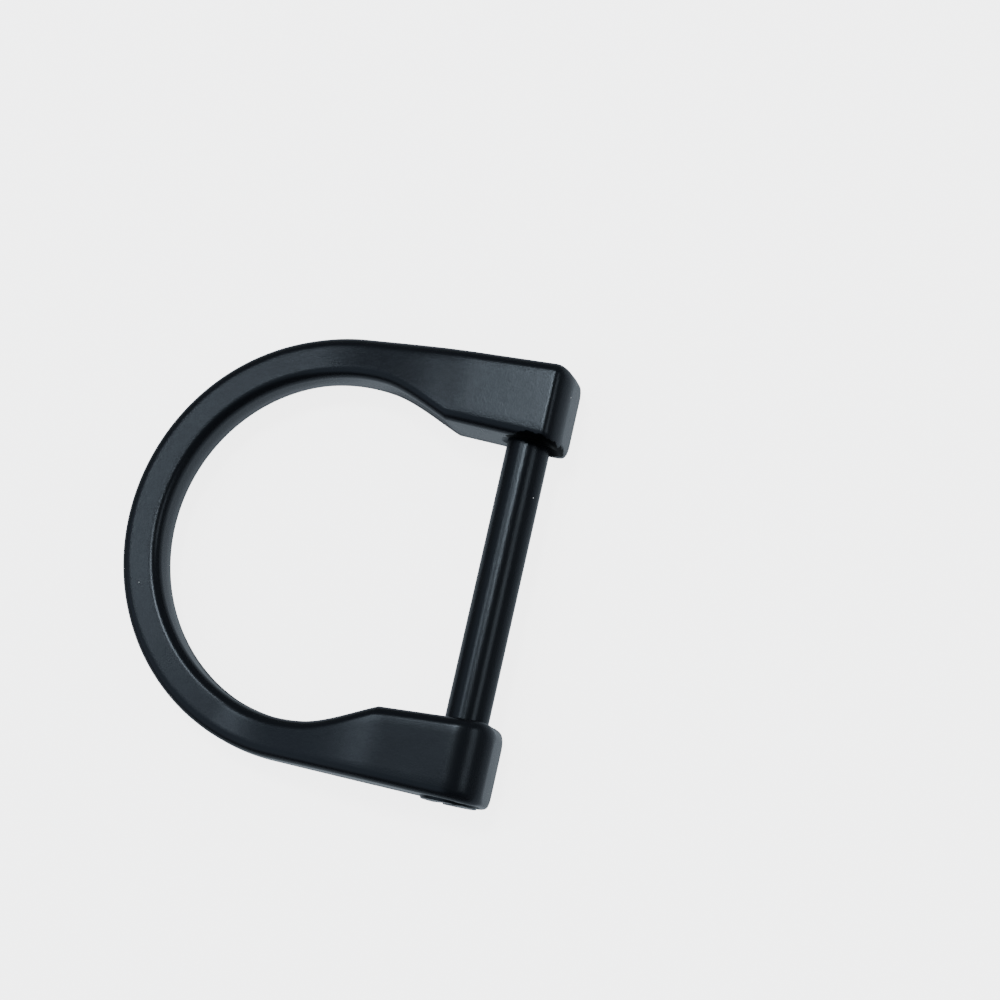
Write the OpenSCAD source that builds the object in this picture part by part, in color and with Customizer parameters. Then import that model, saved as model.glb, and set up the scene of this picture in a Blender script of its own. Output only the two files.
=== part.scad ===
// Screw-bar D ring for a strap, bag or belt.
// One cast ring, horseshoe shaped, whose two ears thicken into square blocks,
// is closed by a turned bar with a slotted head that screws into the far ear.
// The ring lies flat: X runs from the bow to the ears, Y along the bar, Z is up.
// The origin is the middle of the bar's axis.

/* [Opening] */
// Clear width between the ears at their ends, which is the strap's width
strap_w = 25.4; // [16:0.1:50]
// How far the bow's inside swells past the ear's inner face, on each side
bow_swell = 3.35; // [1:0.05:8]
// Distance along X from the bar's axis to the widest place of the bow
arm_l = 16.4; // [12:0.1:30]
// Distance along X from that widest place to the inside of the crown
arc_l = 15.65; // [8:0.05:30]

/* [Bow] */
// Width of the bow's wire, seen from the front
wire_w = 3.75; // [2.5:0.05:8]
// Thickness of the bow at the crown
crown_t = 4.1; // [2.5:0.1:8]
// How far the middle of the crown sits behind the bar's axis
crown_drop = 0.35; // [0:0.05:1]
// Radius on the long edges of the ring
edge_r = 0.95; // [0.3:0.05:1.2]
// How far the walls stand out at the parting line, halfway through the thickness
wall_draft = 0.06; // [0:0.01:0.2]

/* [Ears] */
// Thickness of the ears, front to back
ear_t = 7.7; // [6.6:0.1:12]
// Width of each ear at its end, along the bar
ear_w = 7.5; // [5:0.1:14]
// Length of the ears past the bar's axis
ear_nose = 3.2; // [3:0.1:8]
// Length of the ear's straight inner face behind the bar's axis
ear_heel = 7.4; // [4:0.1:10]
// How far the inner face falls back over its straight length
ear_draft = 0.6; // [0:0.05:1.5]
// Distance from the bar's axis at which the thickening of the arms begins
taper_from = 23; // [16:0.5:40]
// Distance from the bar's axis at which it ends
taper_to = 6; // [2:0.5:10]
// Radius on the back edge at the end of both ears
back_end_r = 1.8; // [0.3:0.1:2.5]

/* [Ear with the head] */
// Length over which its front face rolls off to the end
head_roll_l = 3.5; // [0.5:0.1:5]
// Depth of that roll-off at the end
head_roll_h = 2.8; // [0.5:0.1:3]
// Length along X of its outer corner's rounding, seen from the front
head_corner_out_l = 1.2; // [0.2:0.1:3]
// Width along the bar of that rounding
head_corner_out_w = 0.45; // [0.2:0.05:3]
// Radius of its inner corner, seen from the front
head_corner_in_r = 1.4; // [0.2:0.1:3]

/* [Ear with the thread] */
// Length over which its front face rolls off to the end
far_roll_l = 1.5; // [0.5:0.1:5]
// Depth of that roll-off at the end
far_roll_h = 2.8; // [0.5:0.1:3]
// Length along X of its outer corner's rounding, seen from the front
far_corner_out_l = 1.7; // [0.2:0.1:3]
// Width along the bar of that rounding
far_corner_out_w = 1.15; // [0.2:0.05:3]
// Radius of its inner corner, seen from the front
far_corner_in_r = 0.6; // [0.2:0.1:3]

/* [Screw bar] */
// Diameter of the bar
bar_d = 4.0; // [2.5:0.05:4.5]
// Diameter of the bar's head
head_d = 5.2; // [4.8:0.1:5.6]
// How far the head is sunk into the ear
head_sink = 1.5; // [0.8:0.1:3]
// How far the head stands out of the ear
head_proud = 0.25; // [0:0.05:2]
// Bevel on the rim of the head
head_bevel = 0.15; // [0.05:0.05:0.5]
// Width of the screwdriver slot
slot_w = 0.9; // [0.5:0.1:1.4]
// Depth of the screwdriver slot
slot_depth = 0.9; // [0.3:0.1:1.2]
// Angle at which the slot stands with the bar tight, from the Z axis
slot_angle = 35; // [0:1:180]
// Length of the threaded tip inside the far ear
thread_l = 5.8; // [3:0.1:6.2]
// Pitch of the thread
thread_pitch = 0.7; // [0.4:0.05:1]
// Depth of the thread
thread_depth = 0.35; // [0.1:0.05:0.5]
// Diameter of the bevelled mouth round the bar at each ear's inner face
mouth_d = 5.4; // [4.8:0.1:6]

/* [Clearances] */
// Gap round the bar in its two bores
bore_gap = 0.06; // [0.02:0.01:0.1]
// Gap round the head in its seat
head_gap = 0.16; // [0.05:0.01:0.3]
// Gap under the head
seat_gap = 0.03; // [0.01:0.01:0.2]
// Gap between the bar's tip and the bottom of its bore
tip_gap = 0.4; // [0.1:0.1:1]

/* [Hidden] */
$fn = 64;
ring_color = [0.13, 0.15, 0.18];
bar_color = [0.16, 0.18, 0.21];
eps = 0.01;

half_w = strap_w / 2;

// The inner and outer outlines of the bow are arcs about the same middle
arc_c = [-arm_l, 0];
arc_r = [arc_l, half_w + bow_swell];
outer_r = [arc_r.x + wire_w, arc_r.y + wire_w];

// The outer outline leaves its arc on the tangent that runs to the ear's end
ear_end = [ear_nose, half_w + ear_w];
reach = [(ear_end.x - arc_c.x) / outer_r.x, ear_end.y / outer_r.y];
outer_a = atan2(reach.y, reach.x) + acos(1 / max(1, norm(reach)));
outer_tangent = arc_point(outer_r, outer_a);

// The inner outline leaves its arc at inner_a, and a curve takes it to the ear's straight inner face
inner_a = 82;
leave = arc_point(arc_r, inner_a);
heel = [-ear_heel, half_w + ear_draft];
leave_dir = unit([arc_r.x * sin(inner_a), -arc_r.y * cos(inner_a)]);
leave_pull = 0.44;
heel_pull = 0.25;

// Number of steps along each stretch of half the ring, and round each edge of its section
arc_steps = 26;
curve_steps = 10;
ear_steps = 3;
end_steps = 8;
edge_steps = 5;

// Places along Y of the ear's outer face, the head's seat, the bar's tip and the end of its bore
ear_out = outer_y(0);
seat_y = ear_out - head_sink;
tip_y = half_w + thread_l;
bore_end = tip_y + tip_gap;

function unit(v) = v / norm(v);
function arc_point(r, a) = [arc_c.x + r.x * cos(a), r.y * sin(a)];
function lerp(a, b, t) = a + (b - a) * t;
function bezier(a, b, c, d, t) =
    pow(1 - t, 3) * a + 3 * pow(1 - t, 2) * t * b + 3 * (1 - t) * t * t * c + pow(t, 3) * d;
function ease(t) = t <= 0 ? 0 : t >= 1 ? 1 : t * t * (3 - 2 * t);

// Outer outline at a place along X, from the widest place of the bow to the ear's end
function outer_y(x) =
    x < outer_tangent.x
        ? outer_r.y * sqrt(max(0, 1 - pow((x - arc_c.x) / outer_r.x, 2)))
        : lerp(outer_tangent.y, ear_end.y, (x - outer_tangent.x) / (ear_end.x - outer_tangent.x));

// Straight inner face of the ear at a place along X
function face_y(x) = lerp(half_w, heel.y, (ear_nose - x) / (ear_nose + ear_heel));

// Half the thickness of the ring at a place along X, and the height of its middle there
function taper(x) = ease((x + taper_from) / (taper_from - taper_to));
function half_t(x) = lerp(crown_t, ear_t, taper(x)) / 2;
function mid_z(x) = lerp(-crown_drop, 0, taper(x));

// How far a face has rolled off towards the ear's end, over the length l to the depth h
function roll(x, l, h) =
    x <= ear_nose - l ? 0 : h * (1 - sqrt(max(0, 1 - pow((x - ear_nose) / l + 1, 2))));

// A station of the ring: [inner point, outer point, height of its front, height of its back]
function station(inner, outer) =
    let (x = (inner.x + outer.x) / 2)
    [inner, outer, mid_z(x) + half_t(x), mid_z(x) - half_t(x)];

arc_stations = [
    for (k = [0 : arc_steps])
        let (a = lerp(180, 90, k / arc_steps))
        station(arc_point(arc_r, a), arc_point(outer_r, a))
];
function inner_run(end_x) = concat(
    [for (k = [1 : 2]) arc_point(arc_r, lerp(90, inner_a, k / 2))],
    [
        for (k = [1 : curve_steps])
            bezier(
                leave,
                leave + leave_dir * norm(heel - leave) * leave_pull,
                heel + (leave - heel) * heel_pull,
                heel,
                k / curve_steps
            )
    ],
    [for (k = [1 : ear_steps]) lerp(heel, [end_x, face_y(end_x)], k / ear_steps)]
);
function run_stations(end_x) = [
    for (p = inner_run(end_x))
        let (share = (p.x - arc_c.x) / (end_x - arc_c.x))
        let (x = lerp(arc_c.x, end_x, share))
        station(p, [x, outer_y(x)])
];
function end_stations(end_x, roll_l, roll_h, out_l, out_w, in_r) = [
    for (k = [1 : end_steps])
        let (x = lerp(end_x, ear_nose, sin(90 * k / end_steps)))
        [
            [x, face_y(x) + roll(x, in_r, in_r)],
            [x, outer_y(x) - roll(x, out_l, out_w)],
            mid_z(x) + half_t(x) - roll(x, roll_l, roll_h),
            mid_z(x) - half_t(x) + roll(x, back_end_r, back_end_r)
        ]
];

// Stations of half the ring, from the crown to the end of an ear with the given roll-off and corners
function half_ring(roll_l, roll_h, out_l, out_w, in_r) =
    let (end_x = ear_nose - max(roll_l, out_l, in_r, back_end_r))
    concat(arc_stations, run_stations(end_x), end_stations(end_x, roll_l, roll_h, out_l, out_w, in_r));

// Rounded section at a station, on the side of the ring given by sign.
// Each wall also has a point halfway up, where the parting line stands out.
function section(s, side) =
    let (a = [s[0].x, side * s[0].y, 0], b = [s[1].x, side * s[1].y, 0], front = s[2], back = s[3])
    let (w = norm(b - a), r = min(edge_r, 0.45 * w, 0.45 * (front - back)), d = (b - a) / w)
    [
        for (q = [0 : 3])
            let (near = q == 0 || q == 3, low = q < 2)
            let (arc = [
                for (k = [0 : edge_steps])
                    let (ang = 180 + 90 * (q + k / edge_steps))
                    [(near ? r : w - r) + r * cos(ang), (low ? back + r : front - r) + r * sin(ang)]
            ])
            let (level = (front + back) / 2)
            let (mid = q == 1 ? [[w + wall_draft, level]] : q == 3 ? [[-wall_draft, level]] : [])
            for (p = concat(arc, mid)) a + d * p.x + [0, 0, p.y]
    ];

// The bow and both ears as one solid, swept from the ear at -Y round the crown to the ear at +Y
module ring_solid() {
    head_half = half_ring(head_roll_l, head_roll_h, head_corner_out_l, head_corner_out_w, head_corner_in_r);
    far_half = half_ring(far_roll_l, far_roll_h, far_corner_out_l, far_corner_out_w, far_corner_in_r);
    rows = concat(
        [for (k = [len(head_half) - 1 : -1 : 1]) section(head_half[k], -1)],
        [for (k = [0 : len(far_half) - 1]) section(far_half[k], 1)]
    );
    n = len(rows[0]);
    last = len(rows) - 1;
    points = [for (row = rows, p = row) p];
    sides = [
        for (i = [0 : last - 1], j = [0 : n - 1])
            let (a = i * n + j, b = i * n + (j + 1) % n)
            for (face = [[a, b, a + n], [b, b + n, a + n]]) face
    ];
    caps = [[for (j = [n - 1 : -1 : 0]) j], [for (j = [0 : n - 1]) last * n + j]];
    polyhedron(points, concat(sides, caps), convexity = 6);
}

// A round solid on the bar's axis, from y0 to y1, given its radius at each end
module on_axis(y0, y1, r0, r1) {
    translate([0, y0, 0])
        rotate([-90, 0, 0])
            cylinder(h = y1 - y0, r1 = r0, r2 = r1);
}

// The bevel in which a bore opens at the inner face of the ear at +Y
module mouth() {
    depth = (mouth_d - bar_d) / 2;
    face = face_y(0);
    on_axis(face - depth, face + depth, bar_d / 2 + 2 * depth, bar_d / 2);
}

module d_ring() {
    bore_r = bar_d / 2 + bore_gap;
    seat_r = head_d / 2 + head_gap;
    outside = half_w + ear_w + 1;
    color(ring_color)
        difference() {
            ring_solid();
            on_axis(-outside, 0, bore_r, bore_r);
            on_axis(-outside, -seat_y, seat_r, seat_r);
            on_axis(0, bore_end, bore_r, bore_r);
            mouth();
            mirror([0, 1, 0]) mouth();
        }
}

// One groove of the thread, as a ring with a V section
module thread_groove(y) {
    half = thread_pitch * 0.4;
    translate([0, y, 0])
        rotate([-90, 0, 0])
            rotate_extrude()
                polygon([
                    [bar_d / 2 - thread_depth, 0],
                    [bar_d / 2 + eps, -half],
                    [bar_d / 2 + eps, half]
                ]);
}

module screw_bar() {
    r = bar_d / 2;
    head_r = head_d / 2;
    head_bottom = -seat_y - seat_gap;
    head_top = -ear_out - head_proud;
    thread_end = tip_y - thread_depth;
    grooves = floor((thread_l - thread_depth) / thread_pitch);
    color(bar_color)
        difference() {
            union() {
                on_axis(head_top, head_top + head_bevel, head_r - head_bevel, head_r);
                on_axis(head_top + head_bevel, head_bottom, head_r, head_r);
                on_axis(head_bottom - eps, thread_end, r, r);
                on_axis(thread_end, tip_y, r, r - thread_depth);
            }
            translate([0, head_top, 0])
                rotate([0, slot_angle, 0])
                    cube([slot_w, 2 * slot_depth, 2 * head_d], center = true);
            for (k = [0 : grooves - 1])
                thread_groove(thread_end - thread_pitch * (k + 0.5));
        }
}

d_ring();
screw_bar();
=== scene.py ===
import math

import bmesh
import bpy
import numpy as np
from mathutils import Matrix, Vector


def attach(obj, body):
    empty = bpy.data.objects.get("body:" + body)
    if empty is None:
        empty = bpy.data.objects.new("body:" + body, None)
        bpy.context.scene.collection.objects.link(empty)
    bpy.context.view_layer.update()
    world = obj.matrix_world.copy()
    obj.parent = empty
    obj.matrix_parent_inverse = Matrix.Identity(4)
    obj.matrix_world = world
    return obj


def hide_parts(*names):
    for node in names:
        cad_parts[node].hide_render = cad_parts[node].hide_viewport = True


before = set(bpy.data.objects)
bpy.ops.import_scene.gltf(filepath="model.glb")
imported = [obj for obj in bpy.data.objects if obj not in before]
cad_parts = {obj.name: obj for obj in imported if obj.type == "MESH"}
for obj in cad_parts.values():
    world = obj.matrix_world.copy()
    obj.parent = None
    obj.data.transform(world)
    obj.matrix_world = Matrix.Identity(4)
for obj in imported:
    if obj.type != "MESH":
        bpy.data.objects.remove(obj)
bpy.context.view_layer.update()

MM = 0.001

# Sizes of the ring in millimetres, the same as the CAD part's
STRAP_W = 25.4
BOW_SWELL = 3.35
ARM_L = 16.4
ARC_L = 15.65
WIRE_W = 3.75
CROWN_T = 4.1
CROWN_DROP = 0.35
EDGE_R = 0.95
WALL_DRAFT = 0.06
EAR_T = 7.7
EAR_W = 7.5
EAR_NOSE = 3.2
EAR_HEEL = 7.4
EAR_DRAFT = 0.6
TAPER_FROM = 23.0
TAPER_TO = 6.0
BACK_END_R = 1.8
LEAVE_PULL = 0.44
HEEL_PULL = 0.25
INNER_A = 82.0
# Rounded edges take at most this share of a side
EDGE_SHARE = 0.45

# Each ear's end: length and depth of the front's roll-off, length and width of the outer corner,
# and radius of the inner one
HEAD_END = dict(roll_l=3.5, roll_h=2.8, out_l=1.2, out_w=0.45, in_r=1.4)
FAR_END = dict(roll_l=1.5, roll_h=2.8, out_l=1.7, out_w=1.15, in_r=0.6)

# Sizes of the screw bar and its bores in millimetres
BAR_D = 4.0
HEAD_D = 5.2
HEAD_SINK = 1.5
HEAD_PROUD = 0.25
HEAD_BEVEL = 0.15
SLOT_W = 0.9
SLOT_DEPTH = 0.9
SLOT_ANGLE = 35.0
THREAD_L = 5.8
THREAD_PITCH = 0.7
THREAD_DEPTH = 0.35
MOUTH_D = 5.4
BORE_GAP = 0.06
HEAD_GAP = 0.16
SEAT_GAP = 0.03
TIP_GAP = 0.4

HALF_W = STRAP_W / 2
ARC_R = np.array([ARC_L, HALF_W + BOW_SWELL])
OUTER_R = ARC_R + WIRE_W
EAR_END = np.array([EAR_NOSE, HALF_W + EAR_W])
HEEL = np.array([-EAR_HEEL, HALF_W + EAR_DRAFT])


# The ring's outlines, as in the CAD part

def arc_point(r, degrees):
    a = math.radians(degrees)
    return np.array([-ARM_L + r[0] * math.cos(a), r[1] * math.sin(a)])


REACH = np.array([(EAR_END[0] + ARM_L) / OUTER_R[0], EAR_END[1] / OUTER_R[1]])
OUTER_A = math.degrees(math.atan2(REACH[1], REACH[0]) + math.acos(1 / max(1.0, np.hypot(*REACH))))
TANGENT = arc_point(OUTER_R, OUTER_A)


def outer_y(x):
    if x < TANGENT[0]:
        return OUTER_R[1] * math.sqrt(max(0.0, 1 - ((x + ARM_L) / OUTER_R[0]) ** 2))
    return TANGENT[1] + (EAR_END[1] - TANGENT[1]) * (x - TANGENT[0]) / (EAR_END[0] - TANGENT[0])


def face_y(x):
    return HALF_W + (HEEL[1] - HALF_W) * (EAR_NOSE - x) / (EAR_NOSE + EAR_HEEL)


def taper(x):
    t = min(1.0, max(0.0, (x + TAPER_FROM) / (TAPER_FROM - TAPER_TO)))
    return t * t * (3 - 2 * t)


def half_t(x):
    return (CROWN_T + (EAR_T - CROWN_T) * taper(x)) / 2


def mid_z(x):
    return -CROWN_DROP * (1 - taper(x))


def roll(x, length, depth):
    if x <= EAR_NOSE - length:
        return 0.0
    return depth * (1 - math.sqrt(max(0.0, 1 - ((x - EAR_NOSE) / length + 1) ** 2)))


def half_ring(roll_l, roll_h, out_l, out_w, in_r, arc_n=64, run_n=26, ear_n=10, end_n=20):
    """Stations from the crown to an ear's end: inner point, outer point, front and back height."""
    rows = []

    def add(inner, outer):
        x = (inner[0] + outer[0]) / 2
        rows.append((inner, outer, mid_z(x) + half_t(x), mid_z(x) - half_t(x)))

    for k in range(arc_n + 1):
        a = 180 - 90 * k / arc_n
        add(arc_point(ARC_R, a), arc_point(OUTER_R, a))
    end_x = EAR_NOSE - max(roll_l, out_l, in_r, BACK_END_R)
    leave = arc_point(ARC_R, INNER_A)
    a = math.radians(INNER_A)
    away = np.array([ARC_R[0] * math.sin(a), -ARC_R[1] * math.cos(a)]) / np.hypot(*ARC_R)
    run = [arc_point(ARC_R, 90 + (INNER_A - 90) * k / 4) for k in range(1, 5)]
    pull = [leave, leave + away * np.hypot(*(HEEL - leave)) * LEAVE_PULL, HEEL + (leave - HEEL) * HEEL_PULL, HEEL]
    for k in range(1, run_n + 1):
        t = k / run_n
        weights = ((1 - t) ** 3, 3 * (1 - t) ** 2 * t, 3 * (1 - t) * t * t, t ** 3)
        run.append(sum(w * p for w, p in zip(weights, pull)))
    last = np.array([end_x, face_y(end_x)])
    run += [HEEL + (last - HEEL) * k / ear_n for k in range(1, ear_n + 1)]
    for p in run:
        x = -ARM_L + (end_x + ARM_L) * (p[0] + ARM_L) / (end_x + ARM_L)
        add(p, np.array([x, outer_y(x)]))
    for k in range(1, end_n + 1):
        x = end_x + (EAR_NOSE - end_x) * math.sin(math.pi / 2 * k / end_n)
        front = mid_z(x) + half_t(x) - roll(x, roll_l, roll_h)
        back = mid_z(x) - half_t(x) + roll(x, BACK_END_R, BACK_END_R)
        rows.append((np.array([x, face_y(x) + roll(x, in_r, in_r)]),
                     np.array([x, outer_y(x) - roll(x, out_l, out_w)]), front, back))
    return rows


def section(station, side, edge_n=8, flat_n=8, wall_n=4):
    """Rounded section at a station, with points along its flats and walls too."""
    inner, outer, front, back = station
    a = np.array([inner[0], side * inner[1]])
    b = np.array([outer[0], side * outer[1]])
    w = np.hypot(*(b - a))
    d = (b - a) / w
    h = front - back
    r = min(EDGE_R, EDGE_SHARE * w, EDGE_SHARE * h)
    pts = []
    for q, (cu, cv) in enumerate(((r, back + r), (w - r, back + r), (w - r, front - r), (r, front - r))):
        for k in range(edge_n + 1):
            g = math.pi + math.pi / 2 * (q + k / edge_n)
            pts.append((cu + r * math.cos(g), cv + r * math.sin(g)))
        steps = flat_n if q % 2 == 0 else wall_n
        nxt = ((w - r, back), (w, front - r), (r, front), (0, back + r))[q]
        here = pts[-1]
        for k in range(1, steps):
            s = k / steps
            u, v = here[0] + (nxt[0] - here[0]) * s, here[1] + (nxt[1] - here[1]) * s
            if q % 2 == 1:
                u += (1 if q == 1 else -1) * WALL_DRAFT * (1 - abs(2 * s - 1))
            pts.append((u, v))
    return [(a[0] + d[0] * u, a[1] + d[1] * u, v) for u, v in pts]


# Mesh helpers: pieces are built in millimetres and scaled to metres at the end

# Number of points round a turned shape
SEG = 96
# Edges that turn by more degrees than this stay sharp
SHARP_FROM = 32


def new_object(name, verts, faces):
    mesh = bpy.data.meshes.new(name)
    mesh.from_pydata([tuple(map(float, v)) for v in verts], [], faces)
    mesh.validate()
    obj = bpy.data.objects.new(name, mesh)
    bpy.context.scene.collection.objects.link(obj)
    return obj


def grid_object(name, rows):
    """A closed tube of rings of points, capped at both ends."""
    n = len(rows[0])
    verts = [p for row in rows for p in row]
    faces = []
    for i in range(len(rows) - 1):
        for j in range(n):
            a, b = i * n + j, i * n + (j + 1) % n
            faces.append((a, b, b + n, a + n))
    faces.append(tuple(range(n - 1, -1, -1)))
    faces.append(tuple((len(rows) - 1) * n + j for j in range(n)))
    obj = new_object(name, verts, faces)
    bm = bmesh.new()
    bm.from_mesh(obj.data)
    bmesh.ops.recalc_face_normals(bm, faces=bm.faces)
    bm.to_mesh(obj.data)
    bm.free()
    return obj


def turned_row(y, radius_at):
    """A ring of points about the bar's axis. radius_at gives the radius at a share of a turn."""
    out = []
    for k in range(SEG):
        a = 2 * math.pi * k / SEG
        out.append((radius_at(k / SEG) * math.sin(a), y, radius_at(k / SEG) * math.cos(a)))
    return out


def turned_rows(profile):
    """Rings of points for a profile of (y, radius)."""
    return [turned_row(y, lambda turn, q=q: q) for y, q in profile]


def lathe(name, profile):
    """Turns (y, radius) points about the bar's axis."""
    return grid_object(name, turned_rows(profile))


def cut(obj, *tools):
    for tool in tools:
        mod = obj.modifiers.new("cut", "BOOLEAN")
        mod.operation = "DIFFERENCE"
        mod.solver = "EXACT"
        mod.object = tool
        bpy.context.view_layer.update()
        mesh = bpy.data.meshes.new_from_object(obj.evaluated_get(bpy.context.evaluated_depsgraph_get()))
        obj.modifiers.clear()
        obj.data = mesh
    for tool in tools:
        bpy.data.objects.remove(tool)


def finish_mesh(obj):
    obj.data.transform(Matrix.Scale(MM, 4))
    for p in obj.data.polygons:
        p.use_smooth = True
    obj.data.set_sharp_from_angle(angle=math.radians(SHARP_FROM))


# The ring

EAR_OUT = outer_y(0)
SEAT_Y = EAR_OUT - HEAD_SINK
TIP_Y = HALF_W + THREAD_L
BORE_R = BAR_D / 2 + BORE_GAP
SEAT_R = HEAD_D / 2 + HEAD_GAP
OUTSIDE = HALF_W + EAR_W + 1
MOUTH_DEPTH = (MOUTH_D - BAR_D) / 2
MOUTH_R = BAR_D / 2 + 2 * MOUTH_DEPTH
MOUTH_FACE = face_y(0)
# Radius of the rounded lip of the head's seat
LIP = 0.12
QUARTER = [math.radians(a) for a in (0, 22.5, 45, 67.5, 90)]

rows = [section(s, -1) for s in reversed(half_ring(**HEAD_END)[1:])]
rows += [section(s, 1) for s in half_ring(**FAR_END)]
ring = grid_object("ring", rows)


def mouth_profile(far_y):
    """A bore from the middle of the opening, whose mouth is bevelled at the ear's inner face."""
    return [(0, MOUTH_R), (MOUTH_FACE - MOUTH_DEPTH, MOUTH_R), (MOUTH_FACE + MOUTH_DEPTH - BORE_GAP, BORE_R),
            (far_y, BORE_R)]


head_bore = [(-y, q) for y, q in mouth_profile(OUTSIDE)]
far_bore = mouth_profile(TIP_Y + TIP_GAP)
seat_lip = [(-EAR_OUT + LIP * (1 - math.cos(a)), SEAT_R + LIP * (1 - math.sin(a))) for a in QUARTER]
seat = [(-OUTSIDE, SEAT_R + LIP), *seat_lip, (-SEAT_Y, SEAT_R)]
cut(ring, lathe("tool_a", head_bore), lathe("tool_b", seat), lathe("tool_c", far_bore))
finish_mesh(ring)

# The screw bar, with a true helical thread on its tip

# Radius of the cap in the middle of the head, and width of the flat just inside the head's bevel
HEAD_CAP_R = 0.02
HEAD_FLAT_W = 0.3
# Places at which the shank and the thread have rings of points
SHANK_STEPS = 12
THREAD_STEPS = 110
# Share of the pitch from the middle of a groove to its edge, and the length of shank before the thread
GROOVE_HALF = 0.4
THREAD_AFTER = 0.5

BAR_R = BAR_D / 2
HEAD_R = HEAD_D / 2
HEAD_BOTTOM = -SEAT_Y - SEAT_GAP
HEAD_TOP = -EAR_OUT - HEAD_PROUD
THREAD_Y = HALF_W + THREAD_AFTER
profile = [(HEAD_TOP, HEAD_CAP_R), (HEAD_TOP, HEAD_R - HEAD_BEVEL - HEAD_FLAT_W)]
profile += [(HEAD_TOP + HEAD_BEVEL * (1 - math.cos(a)), HEAD_R - HEAD_BEVEL * (1 - math.sin(a))) for a in QUARTER]
profile += [(HEAD_BOTTOM, HEAD_R), (HEAD_BOTTOM, BAR_R)]
profile += [(HEAD_BOTTOM + (THREAD_Y - HEAD_BOTTOM) * k / SHANK_STEPS, BAR_R) for k in range(1, SHANK_STEPS)]


def thread_radius(y, turn):
    """Radius of the bar at a height and a share of a turn, inside the thread."""
    phase = (y / THREAD_PITCH - turn) % 1.0
    groove = max(0.0, 1 - abs(phase - 0.5) / GROOVE_HALF)
    run_in = min(1.0, max(0.0, (y - THREAD_Y) / THREAD_PITCH))
    tip = max(0.0, y - (TIP_Y - THREAD_DEPTH))
    return min(BAR_R - THREAD_DEPTH * groove * run_in, BAR_R - tip)


bar_rows = turned_rows(profile)
for i in range(THREAD_STEPS + 1):
    y = THREAD_Y + (TIP_Y - THREAD_Y) * i / THREAD_STEPS
    bar_rows.append(turned_row(y, lambda turn, y=y: thread_radius(y, turn)))
bar = grid_object("screw_bar_turned", bar_rows)

# The slot's cutter is a bar whose sides flare where it leaves the head, and that reaches a little above the head
SLOT_FLARE = 0.06
SLOT_OVER = 0.5
near, wide = SLOT_W / 2, SLOT_W / 2 + SLOT_FLARE
slot_shape = [(-near, SLOT_DEPTH), (near, SLOT_DEPTH), (near, SLOT_FLARE), (wide, 0),
              (wide, -SLOT_OVER), (-wide, -SLOT_OVER), (-wide, 0), (-near, SLOT_FLARE)]
slot_tool = grid_object("tool_d", [[(u, HEAD_TOP + v, z) for u, v in slot_shape] for z in (-HEAD_D, HEAD_D)])
slot_tool.data.transform(Matrix.Rotation(math.radians(SLOT_ANGLE), 4, "Y"))
cut(bar, slot_tool)
finish_mesh(bar)


# Materials

class Nodes:
    """Short way to build a node tree."""

    def __init__(self, owner):
        owner.use_nodes = True
        self.tree = owner.node_tree
        self.tree.nodes.clear()

    def add(self, kind, inputs=None, **settings):
        node = self.tree.nodes.new(kind)
        for k, v in settings.items():
            setattr(node, k, v)
        for k, v in (inputs or {}).items():
            if isinstance(v, bpy.types.NodeSocket):
                self.tree.links.new(v, node.inputs[k])
            else:
                node.inputs[k].default_value = v
        return node

    def math(self, op, a, b=0.0, clamp=False):
        return self.add("ShaderNodeMath", {0: a, 1: b}, operation=op, use_clamp=clamp).outputs[0]

    def plus(self, a, b, times=1.0):
        """Adds b, taken so many times, to a."""
        return self.math("ADD", a, self.math("MULTIPLY", b, times))

    def vector(self, op, a, b=(0.0, 0.0, 0.0), out=0):
        return self.add("ShaderNodeVectorMath", {0: a, 1: b}, operation=op).outputs[out]

    def mix(self, share, a, b):
        return self.add("ShaderNodeMix", {0: share, 6: a, 7: b}, data_type="RGBA").outputs[2]

    def noise(self, vector, scale, detail, roughness=0.5):
        inputs = {"Vector": vector, "Scale": scale, "Detail": detail, "Roughness": roughness}
        return self.add("ShaderNodeTexNoise", inputs).outputs["Fac"]

    def spots(self, vector, scale, channel, chosen_from, radius):
        """Small round spots in some cells of a pattern, chosen by a channel of each cell's colour."""
        cells = self.add("ShaderNodeTexVoronoi", {"Vector": vector, "Scale": scale, "Randomness": 1.0}, feature="F1")
        share = self.add("ShaderNodeSeparateColor", {0: cells.outputs["Color"]}).outputs[channel]
        near = self.math("LESS_THAN", cells.outputs["Distance"], radius)
        return self.math("MULTIPLY", near, self.math("GREATER_THAN", share, chosen_from))

    def ramp(self, value, low, high, low_to=0.0, high_to=1.0, kind="SMOOTHSTEP"):
        inputs = {"Value": value, "From Min": low, "From Max": high, "To Min": low_to, "To Max": high_to}
        return self.add("ShaderNodeMapRange", inputs, interpolation_type=kind).outputs[0]


COAT = (0.0038, 0.0042, 0.0052)
RING_ROUGHNESS = 0.25
BAR_ROUGHNESS = 0.23
SHINE = 0.25
SHINE_TINT = [0.72, 0.86, 1.0, 1.0]
# Noises: features per millimetre, detail and roughness
CLOUD = (0.22, 3.0, 0.55)
GRAIN = (7.5, 2.0, 0.6)
PEEL = (1.3, 2.0, 0.5)
# Lines of the bar's turning: features per millimetre on each axis
TURNED_LINES = [0.15, 9.0, 0.15]
# Small pits and pale specks: cells per millimetre, colour channel, value in it from which a cell has one, and radius
# as a share of a cell
PITS = (0.8, 0, 0.72, 0.055)
DUST = (0.62, 1, 0.86, 0.03)
# The coat's tone goes between two multiples of its colour, mostly with the clouds, else with the grain
TONE_LOW = 0.8
TONE_HIGH = 1.25
TONE_BY_CLOUD = 0.6
PIT_TONE = 0.25
# How far the roughness varies with the clouds and with the grain
CLOUD_ROUGH = 0.08
GRAIN_ROUGH = 0.06
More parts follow.
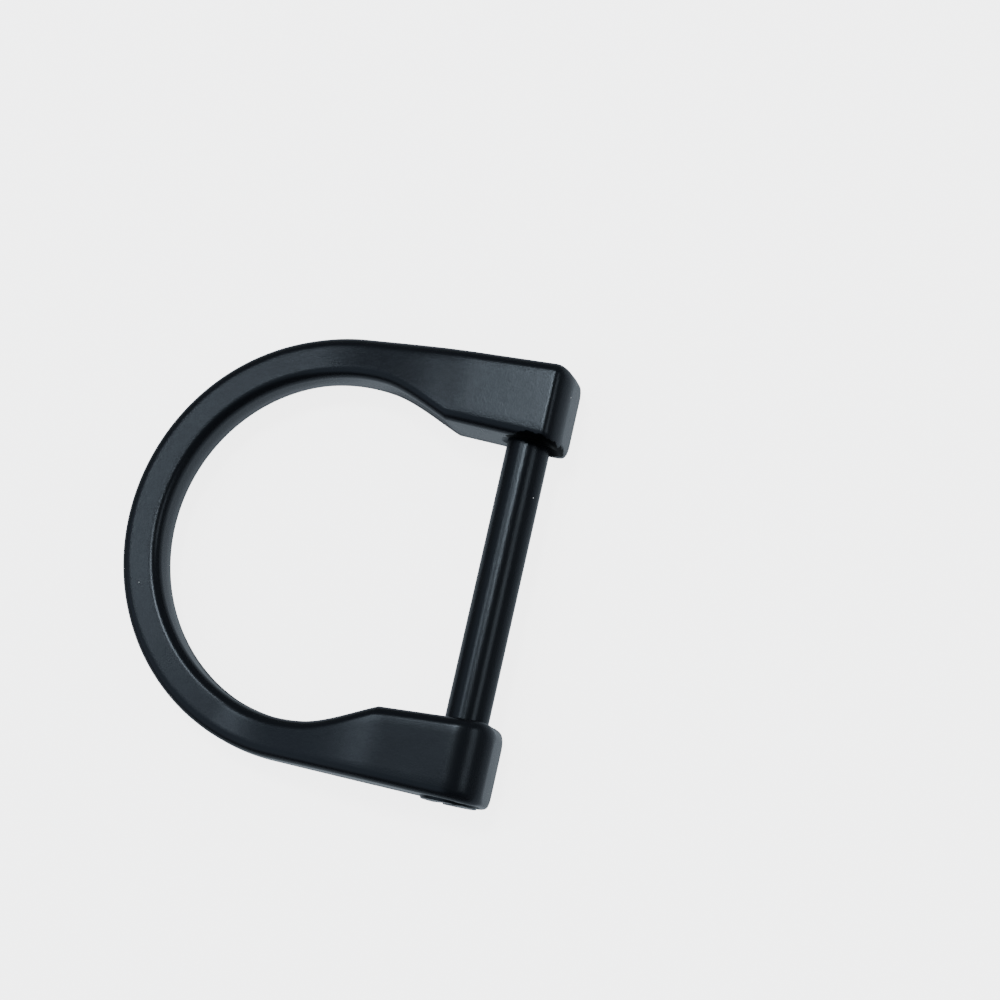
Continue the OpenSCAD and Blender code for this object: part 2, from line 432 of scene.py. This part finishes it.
# Heights in millimetres
PEEL_H = 0.003
TURNED_H = 0.004
PIT_H = 0.05
DUST_H = 0.02
# The grain is smoother towards the ear with the head: two places along the bar, and its height at each
GRAIN_Y = (-19.0, 4.0)
GRAIN_H = (0.0025, 0.012)
DUST_COLOUR = [0.55, 0.56, 0.56, 1]
# Painted shade: a black patch round the far bore's mouth stands for the shade in and by the mouth. Its centre and
# half sizes in millimetres, the noise that makes its rim uneven and how far, how sharp the rim is, and how much
# rougher and less shiny than the coat the patch is
MOUTH_SHADE_AT = (0.75, 12.55, 0.9)
MOUTH_SHADE_R = (2.75, 1.3, 4.2)
MOUTH_SHADE_NOISE = (1.1, 3.0, 0.6)
MOUTH_SHADE_RAGGED = 0.5
MOUTH_SHADE_EDGE = 14.0
MOUTH_SHADE_ROUGHER = 0.2
MOUTH_SHADE_DULLER = 0.23
MOUTH_SHADE_COLOUR = [0.0008, 0.0009, 0.001, 1]


def coat_tone(times):
    """The coat's colour, so many times as light."""
    return [c * times for c in COAT] + [1]


def painted_mouth_shade(n, mm):
    """Share of the painted shade round the far bore's mouth at a point."""
    away = n.vector("MULTIPLY", n.vector("SUBTRACT", mm, MOUTH_SHADE_AT), [1 / v for v in MOUTH_SHADE_R])
    away = n.vector("LENGTH", away, out="Value")
    uneven = n.math("SUBTRACT", n.noise(mm, *MOUTH_SHADE_NOISE), 0.5)
    away = n.plus(away, uneven, MOUTH_SHADE_RAGGED)
    return n.math("MULTIPLY", n.math("SUBTRACT", 1.0, away), MOUTH_SHADE_EDGE, clamp=True)


def satin_coat(name, roughness, turned=False, mouth_shaded=False):
    """Satin black coating: fine grain, cloudy sheen, small pits and pale specks of dust, and where asked a painted
    shade round the far bore's mouth.
    """
    mat = bpy.data.materials.new(name)
    n = Nodes(mat)
    coord = n.add("ShaderNodeTexCoord").outputs["Object"]
    mm = n.add("ShaderNodeVectorMath", {0: coord, "Scale": 1 / MM}, operation="SCALE").outputs[0]
    cloud = n.noise(mm, *CLOUD)
    grain = n.noise(mm, *GRAIN)
    peel = n.noise(mm, *PEEL)
    pit = n.spots(mm, *PITS)
    speck = n.spots(mm, *DUST)
    share = n.plus(n.math("MULTIPLY", cloud, TONE_BY_CLOUD), grain, 1 - TONE_BY_CLOUD)
    tone = n.mix(share, coat_tone(TONE_LOW), coat_tone(TONE_HIGH))
    tone = n.mix(pit, tone, coat_tone(PIT_TONE))
    tone = n.mix(speck, tone, DUST_COLOUR)
    rough = n.plus(roughness - (CLOUD_ROUGH + GRAIN_ROUGH) / 2, cloud, CLOUD_ROUGH)
    rough = n.plus(rough, grain, GRAIN_ROUGH)
    shine = SHINE
    if mouth_shaded:
        # Painted shade round the far bore's mouth: the coat there is painted black, rougher and less shiny
        mouth_shade = painted_mouth_shade(n, mm)
        tone = n.mix(mouth_shade, tone, MOUTH_SHADE_COLOUR)
        rough = n.plus(rough, mouth_shade, MOUTH_SHADE_ROUGHER)
        shine = n.plus(shine, mouth_shade, -MOUTH_SHADE_DULLER)
    along = n.add("ShaderNodeSeparateXYZ", {0: mm}).outputs["Y"]
    height = n.math("MULTIPLY", grain, n.ramp(along, *GRAIN_Y, *GRAIN_H, kind="LINEAR"))
    height = n.plus(height, peel, PEEL_H)
    if turned:
        lines = n.noise(n.vector("MULTIPLY", mm, TURNED_LINES), 1.0, 2.0)
        height = n.plus(height, lines, TURNED_H)
    height = n.plus(height, pit, -PIT_H)
    height = n.plus(height, speck, DUST_H)
    bump = n.add("ShaderNodeBump", {"Strength": 1.0, "Distance": MM, "Height": height}).outputs[0]
    bsdf = n.add("ShaderNodeBsdfPrincipled", {"Base Color": tone, "Roughness": rough, "Normal": bump,
                                              "Specular IOR Level": shine, "Specular Tint": SHINE_TINT})
    n.add("ShaderNodeOutputMaterial", {"Surface": bsdf.outputs[0]})
    return mat


# The ring's coat carries the painted shade round the far bore's mouth
ring_mat = satin_coat("ring_coat_satin", RING_ROUGHNESS, mouth_shaded=True)
bar_mat = satin_coat("bar_coat_satin", BAR_ROUGHNESS, turned=True)
for obj, mat, body, node, slot in ((ring, ring_mat, "ring", "d_ring", "ring_coat"),
                                   (bar, bar_mat, "bar", "screw_bar", "bar_coat")):
    obj.data.materials.clear()
    obj.data.materials.append(mat)
    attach(obj, body)
    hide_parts(node)

# Floor: white, with a glow of its own, and unseen in the coat's gloss

FLOOR_HALF = 0.6
FLOOR_DOWN = 0.00002
FLOOR_GLOW = 4.0
FLOOR_TONES = ([0.88, 0.88, 0.88, 1], [0.92, 0.92, 0.92, 1])
FLOOR_NOISE = (900.0, 2.0)
floor_z = -EAR_T / 2 * MM - FLOOR_DOWN
corners = ((-FLOOR_HALF, -FLOOR_HALF), (FLOOR_HALF, -FLOOR_HALF), (FLOOR_HALF, FLOOR_HALF), (-FLOOR_HALF, FLOOR_HALF))
floor = new_object("floor", [(x, y, floor_z) for x, y in corners], [(0, 1, 2, 3)])
floor_mat = bpy.data.materials.new("floor_white")
fn = Nodes(floor_mat)
f_tone = fn.mix(fn.noise(fn.add("ShaderNodeTexCoord").outputs["Object"], *FLOOR_NOISE), *FLOOR_TONES)
f_bsdf = fn.add("ShaderNodeBsdfPrincipled", {"Base Color": f_tone, "Roughness": 0.9, "Specular IOR Level": 0.1,
                                             "Emission Color": [1, 1, 1, 1], "Emission Strength": FLOOR_GLOW})
fn.add("ShaderNodeOutputMaterial", {"Surface": f_bsdf.outputs[0]})
floor.data.materials.append(floor_mat)
floor.visible_glossy = False

# Camera at the photograph's viewing angle: its turn, the pixel at which the look point stands, the pixels per
# millimetre there, and the focal length and image centre in pixels

ROT = (-0.182419, 0.218328, 0.201668)
PIXEL = (372.765, 558.727)
SCALE = 10.94476
FOCAL = 2400.272
CENTRE = (519.224, 535.742)
IMAGE = 1000
SENSOR = 36.0
LOOK_POINT = np.array([-12.0, 0.0, 0.0])


def rotation(v):
    a = np.linalg.norm(v)
    k = np.array(v) / a
    K = np.array([[0, -k[2], k[1]], [k[2], 0, -k[0]], [-k[1], k[0], 0]])
    return np.eye(3) + math.sin(a) * K + (1 - math.cos(a)) * K @ K


R = rotation(ROT) @ np.diag([1.0, -1.0, -1.0])
depth = FOCAL / SCALE
offset = np.array([(PIXEL[0] - CENTRE[0]) / FOCAL * depth, (PIXEL[1] - CENTRE[1]) / FOCAL * depth, depth])
eye = LOOK_POINT - R.T @ offset
axes = np.array([R[0], -R[1], -R[2]]).T
cam_data = bpy.data.cameras.new("camera")
cam = bpy.data.objects.new("camera", cam_data)
bpy.context.scene.collection.objects.link(cam)
cam.matrix_world = Matrix([[*axes[i], eye[i] * MM] for i in range(3)] + [[0, 0, 0, 1]])
cam_data.sensor_width = SENSOR
cam_data.sensor_fit = "HORIZONTAL"
cam_data.lens = FOCAL / IMAGE * SENSOR
cam_data.shift_x = (IMAGE / 2 - CENTRE[0]) / IMAGE
cam_data.shift_y = (CENTRE[1] - IMAGE / 2) / IMAGE
cam_data.clip_start = 0.01
cam_data.clip_end = 10
bpy.context.scene.camera = cam

# Light: soft panels over the ring in a dim room. Each has its direction, size in metres and radiance.

PANEL_REACH = 0.75
PANEL_AIM = Vector((-0.016, 0, 0))
PANELS = (
    ("key", (-0.085, 0.27, 0.955), 0.13, 36.0),
    ("side", (0.72, 0.15, 0.67), 0.22, 3.2),
    ("bow", (-0.43, 0.15, 0.89), 0.14, 8.5),
)


def panel(name, direction, size, radiance):
    d = Vector(direction).normalized()
    data = bpy.data.lights.new(name, "AREA")
    data.shape = "SQUARE"
    data.size = size
    data.energy = math.pi * size * size * radiance
    obj = bpy.data.objects.new(name, data)
    bpy.context.scene.collection.objects.link(obj)
    obj.location = PANEL_AIM + d * PANEL_REACH
    obj.rotation_euler = (-d).to_track_quat("-Z", "Y").to_euler()


for row in PANELS:
    panel(*row)

# The room: a broad glow overhead to the left, walls that are darker on the near side, and pale light from below
# with a dark spot in it. The glow and the spot have a direction and two cosines between which they fade. The walls
# fade between two values of Y, and the light from below between two of Z.
GLOW_DIR = Vector((-0.58, -0.34, 0.74))
GLOW_FADE = (0.70, 0.95)
SHADE_DIR = Vector((-0.28, 0.14, -0.95))
SHADE_FADE = (0.962, 0.985)
WALL_FADE = (-0.8, 0.1)
BELOW_FADE = (0.02, -0.35)
GLOW = [0.86, 0.96, 1.10, 1]
WALL_DARK = [0.05, 0.06, 0.07, 1]
WALL_LIT = [0.22, 0.25, 0.28, 1]
BELOW = [0.54, 0.62, 0.70, 1]
SHADE = [0.03, 0.035, 0.04, 1]
world = bpy.data.worlds.new("room")
bpy.context.scene.world = world
wn = Nodes(world)
w_dir = wn.add("ShaderNodeTexCoord").outputs["Generated"]
w_xyz = wn.add("ShaderNodeSeparateXYZ", {0: w_dir})


def towards(direction, low, high):
    """Share of a round spot in the room, by the cosine of the angle to its middle."""
    return wn.ramp(wn.vector("DOT_PRODUCT", w_dir, direction.normalized(), "Value"), low, high)


w_tone = wn.mix(wn.ramp(w_xyz.outputs["Y"], *WALL_FADE), WALL_DARK, WALL_LIT)
w_tone = wn.mix(towards(GLOW_DIR, *GLOW_FADE), w_tone, GLOW)
w_tone = wn.mix(wn.ramp(w_xyz.outputs["Z"], *BELOW_FADE), w_tone, BELOW)
w_tone = wn.mix(towards(SHADE_DIR, *SHADE_FADE), w_tone, SHADE)
w_bg = wn.add("ShaderNodeBackground", {"Color": w_tone, "Strength": 1.0})
wn.add("ShaderNodeOutputWorld", {"Surface": w_bg.outputs[0]})
